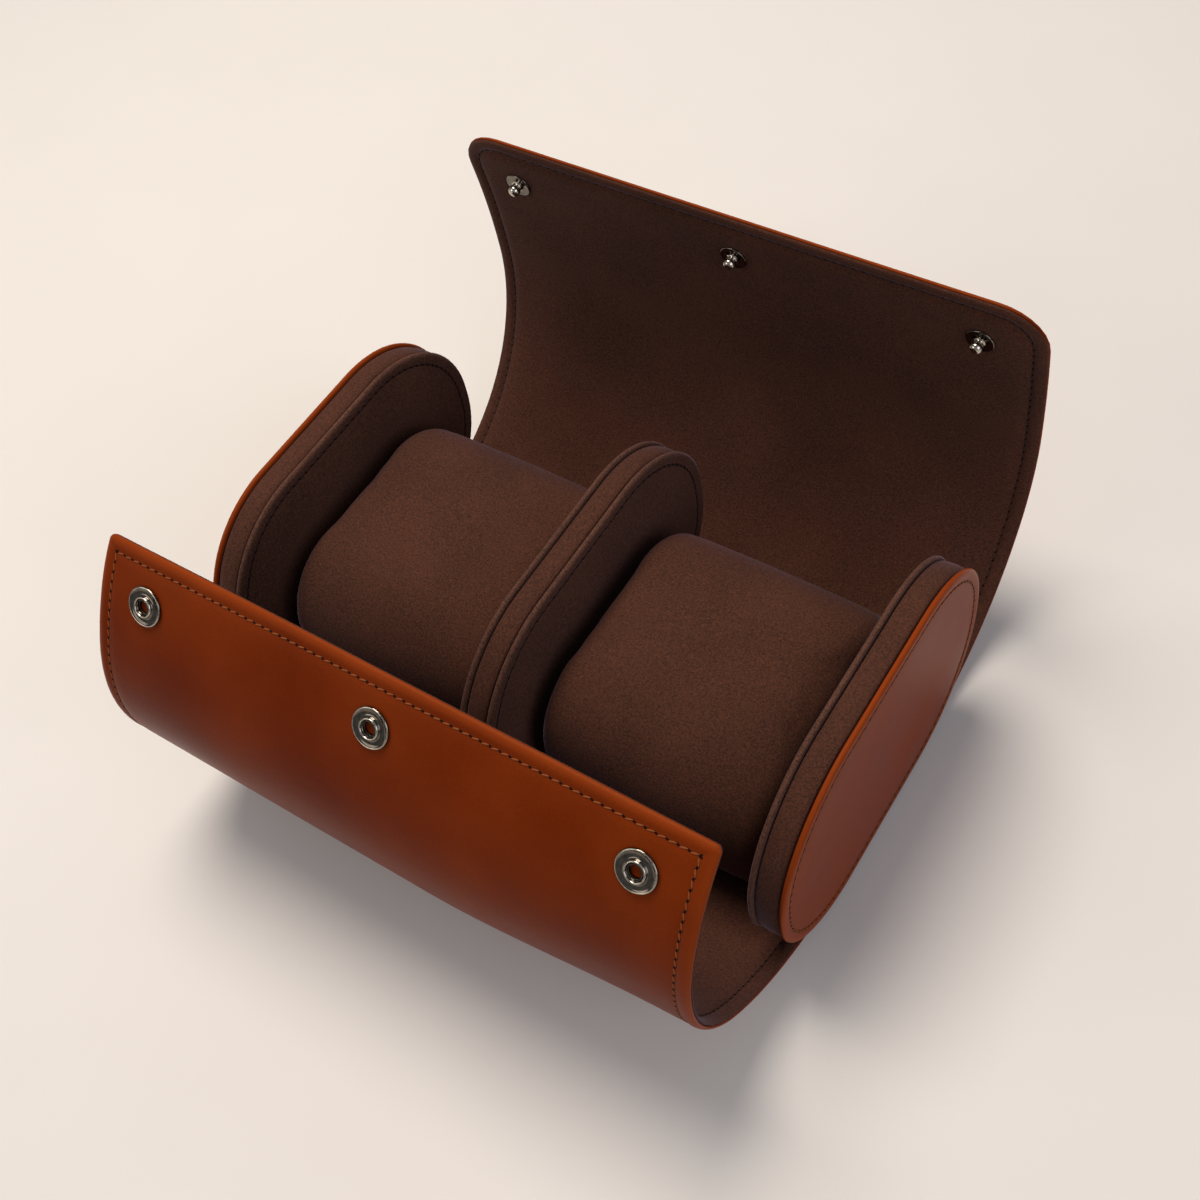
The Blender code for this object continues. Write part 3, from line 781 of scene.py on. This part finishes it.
# Snap fasteners, turned from radius and height pairs in mm
socketProfile = [
    (1.7, 0.05), (5.3, 0.05), (5.64, 0.12), (5.78, 0.32), (5.78, 0.6), (5.68, 0.84), (5.5, 0.94),
    (5.33, 0.88), (5.2, 0.76), (4.8, 0.64), (4.1, 0.58), (3.5, 0.6), (3.24, 0.7), (3.1, 0.92),
    (3.06, 1.24), (2.98, 1.5), (2.84, 1.66), (2.68, 1.67), (2.53, 1.55), (2.46, 1.3), (2.45, 0.9),
    (2.4, 0.62), (1.7, 0.6),
]
eyeletProfile = [
    (1.2, -3.2), (1.7, -3.2), (1.7, 0.0), (4.3, 0.0), (4.55, 0.08), (4.6, 0.25), (4.5, 0.42),
    (4.2, 0.54), (3.4, 0.62), (2.4, 0.56), (1.7, 0.4), (1.35, 0.15), (1.2, -0.2),
]
studProfile = [
    (0.0, 0.0), (4.2, 0.0), (4.38, 0.08), (4.44, 0.28), (4.36, 0.5), (4.16, 0.64), (3.9, 0.66),
    (3.6, 0.6), (2.6, 0.62), (1.9, 0.72), (1.6, 0.9), (1.46, 1.2), (1.45, 1.4), (1.56, 1.6),
    (1.75, 1.85), (1.9, 2.15), (1.95, 2.5), (1.93, 2.9), (1.84, 3.3), (1.65, 3.7), (1.35, 4.05),
    (0.95, 4.28), (0.5, 4.38), (0.0, 4.4),
]
capProfile = [
    (0.0, -0.6), (1.0, -0.6), (1.0, 0.05), (5.1, 0.05), (5.4, 0.14), (5.5, 0.34), (5.42, 0.55),
    (5.1, 0.78), (4.4, 1.0), (3.3, 1.18), (2.0, 1.28), (0.9, 1.3), (0.0, 1.3),
]


def turnProfile(name, profile, spot, body, node, brightReflectionAbove=9 * mm):
    bm = bmesh.new()
    verts = [bm.verts.new((radius * mm, 0, height * mm)) for radius, height in profile]
    edges = [bm.edges.new(pair) for pair in zip(verts, verts[1:])]
    if profile[0][0] > 0:
        edges.append(bm.edges.new((verts[-1], verts[0])))
    axle = {"cent": (0, 0, 0), "axis": (0, 0, 1), "angle": 2 * pi, "steps": 56}
    bmesh.ops.spin(bm, geom=verts + edges, use_merge=True, **axle)
    bmesh.ops.remove_doubles(bm, verts=bm.verts, dist=1e-6)
    # faces above this height take the lighter nickel: a painted bright reflection
    for face in bm.faces:
        face.material_index = 1 if face.calc_center_median().z > brightReflectionAbove else 0
    bm.transform(spot)
    piece = finishPiece(name, bm, [nickel, brightReflectionNickel], "nickel", 50)
    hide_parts(node)
    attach(piece, body)


def snapSpot(x, along, depth, outward):
    # where a snap sits: its base on the wrap at this depth, and its axis square to the wrap
    point = wrapPlace(x, along, depth)
    up = (wrapPlace(x, along, depth - 1 * mm) - point).normalized()
    up = up if outward else -up
    across = Vector((1, 0, 0))
    turn = Matrix((across, up.cross(across), up)).transposed().to_4x4()
    return Matrix.Translation(point) @ turn


flap, lid = snaps["socketAlong"], snaps["studAlong"]
for name, x in snaps["places"].items():
    flapOutside, flapInside = snapSpot(x, flap, 0, True), snapSpot(x, flap, 3.5 * mm, False)
    lidOutside, lidInside = snapSpot(x, lid, 0, True), snapSpot(x, lid, 3.35 * mm, False)
    turnProfile("socket_" + name, socketProfile, flapOutside, "case", "snap_socket_" + name, 0.86 * mm)
    turnProfile("eyelet_" + name, eyeletProfile, flapInside, "case", "socket_eyelet_" + name)
    turnProfile("stud_" + name, studProfile, lidInside, "lid_upper", "snap_stud_" + name, 0.8 * mm)
    turnProfile("cap_" + name, capProfile, lidOutside, "lid_upper", "snap_cap_" + name)
print("snaps turned")

# The CAD nodes that stay: springs inside the snaps, cores inside the walls
for name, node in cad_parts.items():
    if node.hide_render:
        continue
    finish = nickel if "spring" in name else greyBoard
    node.data.materials.clear()
    node.data.materials.append(finish)


# The floor and the light
studio = {
    "floorColours": [(0, "D6D3CE"), (1, "DAD7D2")],
    "floorDrop": 0.2 * mm,
    "skyColour": "E9E9EC",
    "skyStrength": 0.32,
    "lamps": [  # name, place, size and power of each soft box, and its colour
        ("key", (-0.35, 0.2, 1.2), 0.7, 15.0, "FFF3E8"),
        ("fill", (1.0, -0.3, 0.7), 0.9, 4.0, "F3F0FF"),
        ("front", (-0.7, -0.9, 0.7), 0.8, 3.0, "FFF6EC"),
    ],
    "aim": Vector((0, 0, 0.05)),
}


def makeFloor(settings):
    # painted board: matt and even, so the eye goes to the case
    material, tree, shader, where = newMaterial("pale_painted_board", {"Roughness": 0.85})
    tone = addRamp(tree, addNoise(tree, where, 60 * mm), settings["floorColours"])
    tree.links.new(tone, shader.inputs["Base Color"])
    bm = bmesh.new()
    drop = Matrix.Translation((0, 0, -settings["floorDrop"]))
    bmesh.ops.create_grid(bm, x_segments=2, y_segments=2, size=15, matrix=drop)
    mesh = bpy.data.meshes.new("floor")
    bm.to_mesh(mesh)
    bm.free()
    mesh.materials.append(material)
    floor = bpy.data.objects.new("floor", mesh)
    bpy.context.collection.objects.link(floor)


def makeLight(settings):
    for name, place, size, power, colour in settings["lamps"]:
        data = bpy.data.lights.new(name, "AREA")
        data.shape, data.size, data.energy = "DISK", size, power
        data.color = linearColour(colour)[:3]
        lamp = bpy.data.objects.new(name, data)
        lamp.location = place
        lamp.rotation_euler = (settings["aim"] - Vector(place)).to_track_quat("-Z", "Y").to_euler()
        bpy.context.collection.objects.link(lamp)
    world = bpy.data.worlds.new("studio")
    world.use_nodes = True
    sky = world.node_tree.nodes["Background"]
    sky.inputs["Color"].default_value = linearColour(settings["skyColour"])
    sky.inputs["Strength"].default_value = settings["skyStrength"]
    bpy.context.scene.world = world
    bpy.context.scene.view_settings.view_transform = "Standard"


makeFloor(studio)
makeLight(studio)
print("studio lit")
